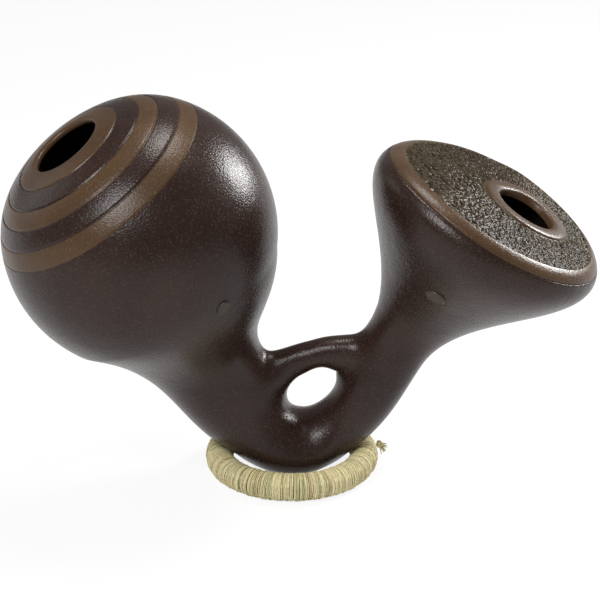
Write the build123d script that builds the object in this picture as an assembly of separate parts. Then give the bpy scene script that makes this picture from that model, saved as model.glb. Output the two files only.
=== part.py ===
from build123d import *
import os
from math import cos, degrees, hypot, pi, radians, sin, sqrt, tan

# A two-chamber udu (clay pot drum) standing in a ring wound with raffia. Millimetres, +Z up.
# The drum is laid out in the XZ plane, measured from the lowest point of the bend's centre line.
# It then leans towards the player (-Y) and is set down in the ring.

# Clay
wall = 6.0

# Bass chamber: the globe, its banded crown and its mouth
globe_radius = 122.2
globe_x = -144.0
globe_z = 208.7
mouth_tilt = 35.0
mouth_lean = 5.0
mouth_radius = 31.5
mouth_lip_width = 5.0
crown_flatness = 12.0
crown_edge_radius = 107.0
band_groove_radii = (52.0, 70.0, 84.0, 97.0)
groove_width = 2.4
groove_depth = 1.0

# Both necks: places, radii and headings of the centre line from the globe to the bell
funnel_tilt = 26.0
funnel_start_angle = 32
throat_x = -87.6
throat_z = 84.4
throat_radius = 52.1
elbow_x = -52.2
elbow_z = 30.9
elbow_radius = 41.5
heel_x = -30.1
heel_z = 10.8
heel_radius = 34.0
bend_radius = 29
toe_x = 32.1
toe_z = 16.8
toe_radius = 29.0
treble_neck_x = 53.0
treble_neck_z = 42.2
treble_neck_radius = 30.4
bell_foot_x = 84.1
bell_foot_z = 96.6

# Treble bell: flare, rim and face
bell_tilt = 31.3
bell_length = 149.7
bell_radius = 112.7
flare_neck_pull = 58.9
flare_rim_pull = 33.8
rim_round = 19.9
rim_groove_turn = 37.0
rim_turn = 76.0
face_dome = 6
hole_radius = 27.5
hole_offset = 26.5
collar_width = 15.0
collar_rise = 1.5

# Bridge between the necks, which leaves the finger hole under it
bridge_bass_share = 0.74
bridge_treble_share = 0.83
bridge_rise = 19.4
bridge_radius = 13.2
bridge_flare = 10.5
bridge_wall = 4.5

# Pressed clay buttons
bass_seal_azimuth = -50.0
bass_seal_drop = 13.6
bass_seal_radius = 6.0
treble_seal_height = 86.0
treble_seal_turn = 104.0
treble_seal_radius = 7.5
seal_rise = 1.2

# Ring: straw core, raffia winding, tie cord and knot
ring_radius = 66.5
core_radius = 9.8
strand_diameter = 2.9
wrap_clearance = 0.3
wrap_count = 4
wrap_turns = 24
tie_turns = 4
tie_start_angle = 10
tie_sector = 16.0
knot_radius = 4.2
knot_turn = 1.0
foot_flat_depth = 0.5

# How the drum sits
drum_lean = 4.0
seat_gap = 0.4

# Sections in each loft
loft_steps = 7
seat_steps = 140
seat_points_round = 120


def heading(tilt):
    """Direction in the drum's plane, turned from straight up towards +X."""
    return Vector(sin(radians(tilt)), 0, cos(radians(tilt)))


def axis_frame(origin, direction):
    """Frame with its Z axis along a direction, on a steady X axis across the drum's plane."""
    return Plane(origin=origin, x_dir=Vector(0, 1, 0).cross(direction), z_dir=direction)


def turned(outline):
    """Solid of revolution of a closed outline drawn in radius (X) and height (Z)."""
    return revolve(make_face(outline), axis=Axis.Z)


# Bass globe frame
globe_centre = Vector(globe_x, 0, globe_z)
lean_share = cos(radians(mouth_lean))
mouth_axis = Vector(
    -sin(radians(mouth_tilt)) * lean_share,
    -sin(radians(mouth_lean)),
    cos(radians(mouth_tilt)) * lean_share,
)
crown_frame = axis_frame(globe_centre, mouth_axis)
funnel_axis = heading(180.0 - funnel_tilt)
funnel_drop = globe_radius * sin(radians(funnel_start_angle))
funnel_frame = axis_frame(globe_centre + funnel_axis * funnel_drop, funnel_axis)
crown_edge_height = sqrt(globe_radius**2 - crown_edge_radius**2)


def crown_height(radius, sphere_radius):
    """Height of the flattened crown above the globe's centre."""
    edge_radius = sqrt(sphere_radius**2 - crown_edge_height**2)
    flat = (1.0 - (radius / edge_radius) ** 2) ** 2
    return sqrt(sphere_radius**2 - radius**2) - crown_flatness * flat


def crown_arc(start, end, sphere_radius):
    """Arc along the crown between two radii."""
    places = [(r, 0, crown_height(r, sphere_radius)) for r in (start, (start + end) / 2, end)]
    return ThreePointArc(*places)


def make_bass_crown():
    """Banded cap: bands between incised grooves, a cylindrical seat for the lip, a flat luted edge."""
    outline = []
    seat = mouth_radius + mouth_lip_width
    start = seat
    for groove in band_groove_radii:
        left, right = groove - groove_width / 2, groove + groove_width / 2
        floor = crown_height(groove, globe_radius) - groove_depth
        outline.append(crown_arc(start, left, globe_radius))
        outline.append(Line((left, 0, crown_height(left, globe_radius)), (groove, 0, floor)))
        outline.append(Line((groove, 0, floor), (right, 0, crown_height(right, globe_radius))))
        start = right
    shoulder = crown_edge_radius - groove_width / 2
    outline.append(crown_arc(start, shoulder, globe_radius))
    inside = globe_radius - wall
    inner_edge = sqrt(inside**2 - crown_edge_height**2)
    edge = (crown_edge_radius - groove_depth, 0, crown_edge_height)
    outline.append(Line((shoulder, 0, crown_height(shoulder, globe_radius)), edge))
    outline.append(Line(edge, (inner_edge, 0, crown_edge_height)))
    knee = (seat + inner_edge) / 2
    outline.append(crown_arc(inner_edge, knee, inside))
    outline.append(crown_arc(knee, seat, inside))
    top = crown_height(seat, globe_radius)
    outline.append(Line((seat, 0, crown_height(seat, inside)), (seat, 0, top)))
    return crown_frame.location * turned(outline)


def make_bass_mouth_lip():
    """Turned lip of the bass mouth, round on its inner edge."""
    seat = mouth_radius + mouth_lip_width
    top = crown_height(seat, globe_radius)
    under = crown_height(seat, globe_radius - wall)
    half = (top - under) / 2
    straight = mouth_radius + min(half, mouth_lip_width / 2)
    outline = [
        Line((seat, 0, under), (seat, 0, top)),
        Line((seat, 0, top), (straight, 0, top)),
        ThreePointArc((straight, 0, top), (mouth_radius, 0, under + half), (straight, 0, under)),
        Line((straight, 0, under), (seat, 0, under)),
    ]
    return crown_frame.location * turned(outline)


def make_bass_bowl():
    """Belly of the globe, between the crown's edge and the funnel."""
    shell = Pos(*globe_centre) * (Sphere(globe_radius) - Sphere(globe_radius - wall))
    crown_edge = axis_frame(globe_centre + mouth_axis * crown_edge_height, mouth_axis)
    shell = split(shell, bisect_by=crown_edge, keep=Keep.BOTTOM)
    return split(shell, bisect_by=funnel_frame, keep=Keep.BOTTOM)


# Centre line of the necks. Its Y coordinate carries the radius, so one curve gives both.
funnel_mouth = globe_centre + funnel_axis * funnel_drop
funnel_radius = globe_radius * cos(radians(funnel_start_angle))
bell_axis = heading(bell_tilt)
stations = {
    "funnel": Vector(funnel_mouth.X, funnel_radius, funnel_mouth.Z),
    "throat": Vector(throat_x, throat_radius, throat_z),
    "elbow": Vector(elbow_x, elbow_radius, elbow_z),
    "heel": Vector(heel_x, heel_radius, heel_z),
    "bend": Vector(0, bend_radius, 0),
    "toe": Vector(toe_x, toe_radius, toe_z),
    "treble_neck": Vector(treble_neck_x, treble_neck_radius, treble_neck_z),
    "bell_foot": Vector(bell_foot_x, treble_neck_radius, bell_foot_z),
}
funnel_slope = tan(radians(funnel_start_angle))
spine = Spline(
    *stations.values(),
    tangents=[funnel_axis - Vector(0, funnel_slope, 0), bell_axis],
)
place = {name: spine.param_at_point(point) for name, point in stations.items()}


def neck_section(share):
    """Frame, outer radius and inner radius of the necks at one place along the centre line."""
    point, tangent = spine @ share, spine % share
    frame = Plane(
        origin=(point.X, 0, point.Z), x_dir=(0, 1, 0), z_dir=(tangent.X, 0, tangent.Z)
    )
    slope = tangent.Y / hypot(tangent.X, tangent.Z)
    return frame, point.Y, point.Y - wall * sqrt(1 + slope**2)


def neck_loft(start, end, inner):
    """Solid of the necks between two stations, filled to the outside or only the bore."""
    sections = []
    for step in range(loft_steps):
        share = place[start] + (place[end] - place[start]) * step / (loft_steps - 1)
        frame, outside, inside = neck_section(share)
        sections.append(frame * Circle(inside if inner else outside))
    return loft(sections)


def make_neck(start, end):
    """Hollow length of neck between two stations."""
    return neck_loft(start, end, False) - neck_loft(start, end, True)


# Treble bell, drawn as radius (X) and height (Z) on its own axis
bell_foot = Vector(bell_foot_x, 0, bell_foot_z)
bell_frame = axis_frame(bell_foot, bell_axis)
rim_top = bell_length + rim_round * sin(radians(rim_turn))
face_top = rim_top + face_dome
flare_shift_share = 0.55


def flare_curve(inset):
    """Flare of the bell, from the neck to its widest place."""
    shift = flare_shift_share * inset
    foot_radius = treble_neck_radius - inset
    rim_radius = bell_radius - inset
    return Bezier(
        (foot_radius, 0, 0),
        (foot_radius, 0, flare_neck_pull + shift),
        (rim_radius, 0, bell_length - flare_rim_pull + shift),
        (rim_radius, 0, bell_length),
    )


def rim_point(radius, turn):
    """Point of the rounded edge, turned from its widest place towards the face."""
    reach = bell_radius - rim_round + radius * cos(radians(turn))
    return Vector(reach, 0, bell_length + radius * sin(radians(turn)))


def rim_arc(radius, start, end):
    """Arc of the rounded edge between two turns."""
    return ThreePointArc(*[rim_point(radius, turn) for turn in (start, (start + end) / 2, end)])


# Incised groove between the bell and its rim band, half of it in each
groove_half_turn = degrees(groove_width / 2 / rim_round)
groove_floor = rim_point(rim_round - groove_depth, rim_groove_turn)


def make_treble_bell():
    """Flared wall of the treble chamber, up to the groove under its rim band."""
    outer = rim_arc(rim_round, 0.0, rim_groove_turn - groove_half_turn)
    inner = rim_arc(rim_round - wall, 0.0, rim_groove_turn)
    outline = [
        flare_curve(0.0),
        outer,
        Line(outer @ 1, groove_floor),
        Line(groove_floor, inner @ 1),
        inner,
        flare_curve(wall),
        Line((treble_neck_radius - wall, 0, 0), (treble_neck_radius, 0, 0)),
    ]
    return bell_frame.location * turned(outline)


def bell_filled():
    """The bell's outside as one filled solid, used to trim what meets it."""
    outline = [
        flare_curve(0.0),
        Line((bell_radius, 0, bell_length), (0, 0, bell_length)),
        Line((0, 0, bell_length), (0, 0, 0)),
        Line((0, 0, 0), (treble_neck_radius, 0, 0)),
    ]
    return bell_frame.location * turned(outline)


def make_treble_rim():
    """Smooth rounded band between the groove and the face."""
    outer = rim_arc(rim_round, rim_groove_turn + groove_half_turn, rim_turn)
    inner = rim_arc(rim_round - wall, rim_groove_turn, rim_turn)
    outline = [
        outer,
        Line(outer @ 1, inner @ 1),
        inner,
        Line(inner @ 0, groove_floor),
        Line(groove_floor, outer @ 0),
    ]
    return bell_frame.location * turned(outline)


def face_plate(rise):
    """Domed disc of the face; its top is raised by a small height where asked."""
    edge, under_edge = rim_point(rim_round, rim_turn), rim_point(rim_round - wall, rim_turn)
    edge_up = edge + Vector(0, 0, rise)
    crest, under = Vector(0, 0, face_top + rise), Vector(0, 0, face_top - wall)

    def dome(start, top):
        share = 0.5
        middle = Vector(start.X * share, 0, start.Z + (top.Z - start.Z) * (1 - share**2))
        return ThreePointArc(start, middle, top)

    outline = [dome(edge_up, crest), Line(crest, under), dome(under_edge, under)]
    outline.append(Line(under_edge, edge))
    if rise:
        outline.append(Line(edge, edge_up))
    return turned(outline)


def hole_cylinder(radius):
    """Cylinder through the face at the off-centre hole."""
    return Pos(hole_offset, 0, rim_top) * Cylinder(radius, 4 * wall)


def make_treble_face():
    """Stamped playing face with the seat of its collar cut out."""
    return bell_frame.location * (face_plate(0.0) - hole_cylinder(hole_radius + collar_width))


def make_treble_mouth_collar():
    """Smooth, slightly raised collar round the off-centre hole."""
    ring = hole_cylinder(hole_radius + collar_width) - hole_cylinder(hole_radius)
    return bell_frame.location * (face_plate(collar_rise) & ring)


# Bridge: an arc from one neck's centre line to the other's
def neck_point(start, end, share):
    """Point of the centre line between two stations."""
    point = spine @ (place[start] + (place[end] - place[start]) * share)
    return Vector(point.X, 0, point.Z)


bridge_start = neck_point("throat", "elbow", bridge_bass_share)
bridge_end = neck_point("treble_neck", "bell_foot", bridge_treble_share)
bridge_chord = bridge_end - bridge_start
bridge_up = Vector(-bridge_chord.Z, 0, bridge_chord.X).normalized()
bridge_middle = (bridge_start + bridge_end) * 0.5 + bridge_up * bridge_rise
bridge_line = ThreePointArc(bridge_start, bridge_middle, bridge_end)


def bridge_loft(inset):
    """Bridge between the two centre lines, wider towards both ends."""
    sections = []
    for step in range(loft_steps + 2):
        share = step / (loft_steps + 1)
        radius = bridge_radius + bridge_flare * (2 * share - 1) ** 2 - inset
        point, tangent = bridge_line @ share, bridge_line % share
        frame = Plane(origin=point, x_dir=(0, 1, 0), z_dir=tangent)
        sections.append(frame * Circle(radius))
    return loft(sections)


def make_bridge(filled_necks):
    """Hollow strut, trimmed to the outside of both necks."""
    bridge = bridge_loft(0.0) - bridge_loft(bridge_wall)
    for neck in filled_necks:
        bridge -= neck
    return bridge


# Seals
def make_bass_seal():
    """Bare pressed button on the globe."""
    out = Vector(
        cos(radians(bass_seal_drop)) * cos(radians(bass_seal_azimuth)),
        cos(radians(bass_seal_drop)) * sin(radians(bass_seal_azimuth)),
        -sin(radians(bass_seal_drop)),
    )
    plug = axis_frame(globe_centre, out) * Pos(0, 0, globe_radius) * Cylinder(bass_seal_radius, 2 * wall)
    cap = Pos(*globe_centre) * (Sphere(globe_radius + seal_rise) - Sphere(globe_radius))
    return plug & cap


def make_treble_seal():
    """Bare pressed button on the bell's flank."""
    outer = flare_curve(0.0)
    share = treble_seal_height / bell_length
    foot, along = outer @ share, outer % share
    turn = radians(treble_seal_turn)
    flat_out = Vector(cos(turn), -sin(turn), 0)
    centre = flat_out * foot.X + Vector(0, 0, foot.Z)
    out = flat_out * along.Z - Vector(0, 0, along.X)
    plug = axis_frame(centre, out) * Cylinder(treble_seal_radius, 2 * (wall - seal_rise))
    skin = flare_skin()
    return bell_frame.location * (plug & skin)


def flare_skin():
    """Thin layer on the bell's outside, as thick as a pressed button stands proud."""
    outer, proud = flare_curve(0.0), flare_curve(-seal_rise)
    outline = [outer, Line(outer @ 1, proud @ 1), proud, Line(proud @ 0, outer @ 0)]
    return turned(outline)


# Ring
strand_radius = core_radius + wrap_clearance + strand_diameter / 2
ring_tube_radius = strand_radius + strand_diameter / 2
ring_height = ring_tube_radius - foot_flat_depth
wrap_sector = (360.0 - tie_sector) / wrap_count


def wound_point(round_angle, tube_angle):
    """Point of the winding's centre line and its heading round the tube."""
    r, t = radians(round_angle), radians(tube_angle)
    reach = ring_radius + strand_radius * cos(t)
    point = Vector(reach * cos(r), reach * sin(r), ring_height + strand_radius * sin(t))
    across = Vector(-sin(t) * cos(r), -sin(t) * sin(r), cos(t))
    along = Vector(-sin(r), cos(r), 0)
    return point, across, along, reach


def biarc(start, start_heading, end, end_heading):
    """Two arcs that leave and arrive along the given headings."""
    chord = end - start
    both = start_heading + end_heading
    bend = 2 * (1 - start_heading.dot(end_heading))
    drift = chord.dot(both)
    reach = (sqrt(drift**2 + bend * chord.dot(chord)) - drift) / bend
    first, last = start + start_heading * reach, end - end_heading * reach
    middle = (first + last) * 0.5
    return [
        Edge.make_tangent_arc(start, start_heading, middle),
        Edge.make_tangent_arc(middle, last - first, end),
    ]


def winding_path(start_angle, sector, turns):
    """Unbroken line of one winding: straight ends at the ring's outside, half turns between them."""
    climb = sector / turns
    first, up, _, _ = wound_point(start_angle, 0.0)
    stops = [(first, up), (first + up * strand_diameter, up)]
    for half in range(2 * turns):
        turn = 0.25 + half / 2
        point, across, along, reach = wound_point(start_angle + climb * turn, 360.0 * turn)
        pace = across * (2 * pi * strand_radius) + along * (radians(climb) * reach)
        stops.append((point, pace.normalized()))
    last, up, _, _ = wound_point(start_angle + sector, 0.0)
    stops += [(last - up * strand_diameter, up), (last, up)]
    edges = [Edge.make_line(stops[0][0], stops[1][0])]
    for (a, da), (b, db) in zip(stops[1:-2], stops[2:-1]):
        edges += biarc(a, da, b, db)
    edges.append(Edge.make_line(stops[-2][0], stops[-1][0]))
    return edges


def least_gap(edges):
    """Least gap between neighbouring turns of one winding, measured on points of its line."""
    samples = 10
    points = [edge @ (i / samples) for edge in edges for i in range(samples)]
    turn = 4 * samples
    gaps = []
    for i, point in enumerate(points):
        for other in points[i + turn // 2 : i + turn + turn // 2]:
            gaps.append((point - other).length)
    return min(gaps) - strand_diameter


def make_winding(name, start_angle, sector, turns):
    """One wound strand, cut flat where the ring stands."""
    edges = winding_path(start_angle, sector, turns)
    print(name, "least gap to itself", round(least_gap(edges), 2), "mm")
    path = Wire(edges)
    profile = Plane(origin=path @ 0, z_dir=path % 0) * Circle(strand_diameter / 2)
    strand = sweep(profile, path=path)
    print(name, "volume share", round(strand.volume / (path.length * profile.area), 4))
    return split(strand, bisect_by=Plane.XY, keep=Keep.TOP)


def make_ring_core():
    """Straw rope core under the winding."""
    return Pos(0, 0, ring_height) * Torus(ring_radius, core_radius)


def make_tie_knot():
    """Knot of the tie cord, seated on the outside of one of its turns."""
    angle = tie_start_angle + tie_sector * knot_turn / tie_turns
    reach = ring_radius + ring_tube_radius + wrap_clearance + knot_radius
    place_at = heading(90.0 - angle) * reach
    return Pos(place_at.X, place_at.Z, ring_height) * Sphere(knot_radius)


# Seat of the drum in the ring
def base_points():
    """Points on the underside of the leaning drum, where it can meet the ring."""
    points = []
    for step in range(seat_steps + 1):
        share = place["throat"] + (place["bell_foot"] - place["throat"]) * step / seat_steps
        frame, radius, _ = neck_section(share)
        for turn in range(seat_points_round):
            angle = 2 * pi * turn / seat_points_round
            local = Vector(radius * cos(angle), radius * sin(angle), 0)
            points.append(frame.from_local_coords(local).rotate(Axis.X, drum_lean))
    return points


def seat_heights(points, shift):
    """Heights at which the drum, moved along X, meets the ring's left and right halves."""
    reach = ring_tube_radius + seat_gap
    heights = {True: -1000.0, False: -1000.0}
    for point in points:
        x = point.X + shift
        off = hypot(x, point.Y) - ring_radius
        if abs(off) < reach:
            height = ring_height + sqrt(reach**2 - off**2) - point.Z
            heights[x < 0] = max(heights[x < 0], height)
    return heights[True], heights[False]


def find_seat():
    """Shift and height at which both sides of the drum meet the ring together."""
    points = base_points()
    low, high = -ring_radius / 2, ring_radius / 2
    for _ in range(40):
        shift = (low + high) / 2
        left, right = seat_heights(points, shift)
        if left > right:
            low = shift
        else:
            high = shift
    return shift, max(left, right)


# Assembly
filled = {
    "bass_funnel": neck_loft("funnel", "throat", False),
    "bass_neck": neck_loft("throat", "heel", False),
    "treble_neck": neck_loft("toe", "bell_foot", False),
    "treble_bell": bell_filled(),
}
bridge_bore = bridge_loft(bridge_wall)
drum = {
    "bass_crown": make_bass_crown(),
    "bass_mouth_lip": make_bass_mouth_lip(),
    "bass_bowl": make_bass_bowl(),
    "bass_funnel": make_neck("funnel", "throat"),
    "bass_neck": make_neck("throat", "heel") - bridge_bore,
    "base_bend": make_neck("heel", "toe"),
    "treble_neck": make_neck("toe", "bell_foot") - bridge_bore,
    "treble_bell": make_treble_bell(),
    "treble_rim": make_treble_rim(),
    "treble_face": make_treble_face(),
    "treble_mouth_collar": make_treble_mouth_collar(),
    "bridge_tube": make_bridge(filled.values()),
    "bass_seal": make_bass_seal(),
    "treble_seal": make_treble_seal(),
}
ring = {"ring_core": make_ring_core(), "tie_knot": make_tie_knot()}
for number in range(wrap_count):
    name = f"raffia_wrap_{number + 1}"
    start = tie_start_angle + tie_sector + wrap_sector * number
    ring[name] = make_winding(name, start, wrap_sector, wrap_turns)
ring["tie_cord"] = make_winding("tie_cord", tie_start_angle, tie_sector, tie_turns)

seat_shift, seat_height = find_seat()
print("seat: shift", round(seat_shift, 2), "height", round(seat_height, 2))
nodes = {name: Pos(seat_shift, 0, seat_height) * Rot(drum_lean, 0, 0) * piece for name, piece in drum.items()}
nodes.update(ring)
boxes = [piece.bounding_box() for piece in nodes.values()]
low_x, high_x = min(box.min.X for box in boxes), max(box.max.X for box in boxes)
low_y, high_y = min(box.min.Y for box in boxes), max(box.max.Y for box in boxes)
centre = Pos(-(low_x + high_x) / 2, -(low_y + high_y) / 2, 0)
print("moved by", centre.position, "to stand over the origin")

os.makedirs("parts", exist_ok=True)
for name, piece in nodes.items():
    export_step(centre * piece, f"parts/{name}.step")
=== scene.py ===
# %% [markdown]
# # A two-chamber udu on a raffia ring
# An udu is a clay pot drum. This one has a round bass chamber with a banded crown, a flared treble
# chamber with a stamped face, two necks that meet in a bend, and a bridge between the necks.
# It stands in a ring of straw that is wound with raffia.
# The CAD model is loaded first and stays as a fixed frame. Each piece below is modelled on top of it.

# %% Load the frame
import random
from math import atan2, ceil, cos, pi, radians, sin, sqrt, tan

import bmesh
import bpy
import numpy as np
from mathutils import Matrix, Vector
from mathutils.bvhtree import BVHTree


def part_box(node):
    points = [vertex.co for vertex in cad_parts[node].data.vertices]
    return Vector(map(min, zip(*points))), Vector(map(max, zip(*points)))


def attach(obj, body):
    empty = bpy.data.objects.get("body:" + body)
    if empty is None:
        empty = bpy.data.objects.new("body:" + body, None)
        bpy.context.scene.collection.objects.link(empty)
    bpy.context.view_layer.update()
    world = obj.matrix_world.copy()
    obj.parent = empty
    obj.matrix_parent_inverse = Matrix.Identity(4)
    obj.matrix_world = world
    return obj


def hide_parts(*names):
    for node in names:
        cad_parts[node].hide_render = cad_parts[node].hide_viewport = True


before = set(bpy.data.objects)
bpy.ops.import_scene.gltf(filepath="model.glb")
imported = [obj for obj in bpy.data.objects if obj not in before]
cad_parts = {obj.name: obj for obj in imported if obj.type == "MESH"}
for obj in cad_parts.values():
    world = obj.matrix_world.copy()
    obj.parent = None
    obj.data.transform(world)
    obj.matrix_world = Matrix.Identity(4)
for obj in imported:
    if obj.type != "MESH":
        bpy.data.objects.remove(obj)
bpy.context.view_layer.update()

mm = 0.001
print("CAD nodes:", len(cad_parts))

# %% [markdown]
# ## Camera
# The photograph looks down on the drum at about 23 degrees from a good distance, so that the far and
# near sides are nearly the same size. A long lens does the same here. The point that the camera looks
# at is measured from the middle of the ring.

# %% Camera
ring_low, ring_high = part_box("ring_core")
ring_middle = (ring_low + ring_high) / 2
camera_distance = 2.2
camera_tilt = radians(23.0)
camera_focus = Vector((ring_middle.x + 0.0075, ring_middle.y, 0.1672))
lens_mm = 146.7

camera_data = bpy.data.cameras.new("photo_camera")
camera_data.lens = lens_mm
camera_data.sensor_width = 36.0
camera_data.clip_end = 50.0
camera = bpy.data.objects.new("photo_camera", camera_data)
bpy.context.scene.collection.objects.link(camera)
camera.location = camera_focus + Vector((0, -cos(camera_tilt), sin(camera_tilt))) * camera_distance
camera.rotation_euler = (pi / 2 - camera_tilt, 0, 0)
bpy.context.scene.camera = camera
bpy.context.scene.view_settings.view_transform = "Standard"
print("camera at", [round(v, 3) for v in camera.location])

# %% [markdown]
# ## Small helpers
# Operators act on everything that is selected, so each step starts with nothing selected. A new
# primitive is the only selected object, and edit mode then works on it alone.


# %% Selecting and finishing
def deselect_all():
    """Object mode with nothing selected."""
    if bpy.context.object and bpy.context.object.mode != "OBJECT":
        bpy.ops.object.mode_set(mode="OBJECT")
    bpy.ops.object.select_all(action="DESELECT")


def take(piece):
    """Only this piece is selected and active."""
    deselect_all()
    piece.select_set(True)
    bpy.context.view_layer.objects.active = piece


def edit(piece, action="DESELECT"):
    """Edit mode on one piece, with nothing or all of it selected."""
    take(piece)
    bpy.ops.object.mode_set(mode="EDIT")
    bpy.ops.mesh.select_all(action=action)


def shade(piece, angle):
    """Smooth shading up to an angle between the faces."""
    take(piece)
    bpy.ops.object.shade_smooth_by_angle(angle=radians(angle))


def apply_place(piece, place):
    """Moves a piece by a matrix and puts the place into its mesh."""
    take(piece)
    piece.matrix_world = place
    bpy.ops.object.transform_apply(location=True, rotation=True, scale=True)


def tidy_mesh(piece, angle=50.0):
    """Merges doubles, turns the faces outwards and shades them smooth up to an angle."""
    edit(piece, "SELECT")
    bpy.ops.mesh.remove_doubles(threshold=0.00001)
    bpy.ops.mesh.normals_make_consistent(inside=False)
    shade(piece, angle)


def apply_modifier(piece, kind, **settings):
    """Adds one modifier with its settings and applies it."""
    take(piece)
    modifier = piece.modifiers.new(kind.lower(), kind)
    for key, value in settings.items():
        setattr(modifier, key, value)
    bpy.ops.object.modifier_apply(modifier=modifier.name)


def hand_over(piece, body, nodes, material=None):
    """Gives a piece its finish, unless it has some, and its body, and hides the CAD nodes that it stands for.
    """
    if material:
        piece.data.materials.clear()
        piece.data.materials.append(material)
    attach(piece, body)
    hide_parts(*nodes)
    triangles = sum(len(p.vertices) - 2 for p in piece.data.polygons)
    print(piece.name, "stands for", ", ".join(nodes), "with", triangles, "triangles")


# %% [markdown]
# ## Node helpers
# A finish is a tree of small nodes. Each helper adds one node, links what goes in and gives back what
# comes out, so that a finish can be read like a sum.


# %% Nodes
def new_material(name):
    """Material, its node tree and its shader."""
    material = bpy.data.materials.new(name)
    material.use_nodes = True
    return material, material.node_tree, material.node_tree.nodes["Principled BSDF"]


def add_node(tree, kind, inputs, **settings):
    """One node with its settings; each input is a number, a colour or the socket that feeds it."""
    node = tree.nodes.new("ShaderNode" + kind)
    for key, value in settings.items():
        setattr(node, key, value)
    for key, value in inputs.items():
        if isinstance(value, bpy.types.NodeSocket):
            tree.links.new(value, node.inputs[key])
        else:
            node.inputs[key].default_value = (*value, 1) if isinstance(value, tuple) else value
    return node


def add_noise(tree, scale, detail, vector):
    """Noise texture on a vector."""
    return add_node(tree, "TexNoise", {"Scale": scale, "Detail": detail, "Vector": vector}).outputs["Fac"]


def add_math(tree, operation, first, second):
    """Math node on sockets or plain numbers."""
    return add_node(tree, "Math", {0: first, 1: second}, operation=operation).outputs[0]


def add_range(tree, value, low, high, new_low, new_high):
    """Map range node that clamps."""
    ends = {"From Min": low, "From Max": high, "To Min": new_low, "To Max": new_high}
    return add_node(tree, "MapRange", {"Value": value, **ends}, clamp=True).outputs["Result"]


def add_mix(tree, share, first, second):
    """Mix of two colours by a share; the colour sockets are numbers 6 and 7, and 2 at the output."""
    return add_node(tree, "Mix", {0: share, 6: first, 7: second}, data_type="RGBA").outputs[2]


def add_bump(tree, height, strength, distance, skin):
    """Bump node from a height to the shader's normal."""
    node = add_node(tree, "Bump", {"Height": height, "Strength": strength, "Distance": distance})
    tree.links.new(node.outputs["Normal"], skin.inputs["Normal"])


# %% [markdown]
# ## The floor and the light
# The photograph is a catalogue picture on white: a broad soft light from the front left, a second one from
# behind on the right, a weaker one from above and a faint cool one from the left. The floor is pale and
# keeps the drum's shadow. For the camera, and where something mirrors or refracts it, it is lifted towards
# white. Its soft light on the drum stays as it was, and only what the gloss mirrors gets whiter.

# %% Floor
deselect_all()
bpy.ops.mesh.primitive_plane_add(size=8.0)
floor = bpy.context.object
floor.name = "studio_floor"
edit(floor, "SELECT")
bpy.ops.mesh.subdivide(number_cuts=3)
deselect_all()
floor_paper, paper_tree, paper = new_material("floor_paper")
paper.inputs["Base Color"].default_value = (0.9, 0.9, 0.9, 1)
paper.inputs["Roughness"].default_value = 0.9
paper_lift = 0.88
paper_glow = add_node(paper_tree, "Emission", {})
paper_path = add_node(paper_tree, "LightPath", {})
paper_seen = paper_path.outputs["Is Camera Ray"]
for ray in ("Is Glossy Ray", "Is Transmission Ray"):
    paper_seen = add_math(paper_tree, "MAXIMUM", paper_seen, paper_path.outputs[ray])
paper_share = add_math(paper_tree, "MULTIPLY", paper_seen, paper_lift)
paper_mix = add_node(
    paper_tree, "MixShader", {0: paper_share, 1: paper.outputs["BSDF"], 2: paper_glow.outputs["Emission"]}
)
paper_tree.links.new(paper_mix.outputs["Shader"], paper_tree.nodes["Material Output"].inputs["Surface"])
floor.data.materials.append(floor_paper)


# %% Lamps and world
def softbox(name, direction, distance, size, power, colour):
    """Square area lamp that looks at the drum from a direction."""
    data = bpy.data.lights.new(name, "AREA")
    data.size = size
    data.energy = power
    data.color = colour
    lamp = bpy.data.objects.new(name, data)
    bpy.context.scene.collection.objects.link(lamp)
    out = Vector(direction).normalized()
    lamp.location = camera_focus + out * distance
    lamp.rotation_euler = out.to_track_quat("Z", "Y").to_euler()


softbox("front_softbox", (-0.33, -0.66, 0.68), 2.0, 0.7, 29.0, (1.0, 1.0, 1.0))
softbox("back_softbox", (0.755, 0.505, 0.413), 1.6, 0.5, 28.0, (1.0, 1.0, 1.0))
softbox("top_softbox", (0.12, 0.19, 0.97), 1.6, 0.5, 15.0, (1.0, 0.98, 0.95))
softbox("side_softbox", (-0.9, 0.35, 0.35), 2.0, 0.9, 3.0, (0.93, 0.97, 1.0))

sky_light = 0.24
studio = bpy.data.worlds.new("studio")
studio.use_nodes = True
sky = studio.node_tree.nodes["Background"]
sky.inputs["Color"].default_value = (1.0, 1.0, 1.0, 1)
sky_path = add_node(studio.node_tree, "LightPath", {})
sky_strength = add_range(studio.node_tree, sky_path.outputs["Is Camera Ray"], 0.0, 1.0, sky_light, 1.0)
studio.node_tree.links.new(sky_strength, sky.inputs["Strength"])
bpy.context.scene.world = studio

# %% [markdown]
# ## Clay finishes
# The pot is unglazed clay that was burnished with a smooth stone and fired dark. Close up it has a fine
# grain that breaks up the highlights, cloudy patches from the fire, and faint strokes of the stone.
# All clay pieces share those, so they are one node group: a slow cloud, a fine speckle and a height.

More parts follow.
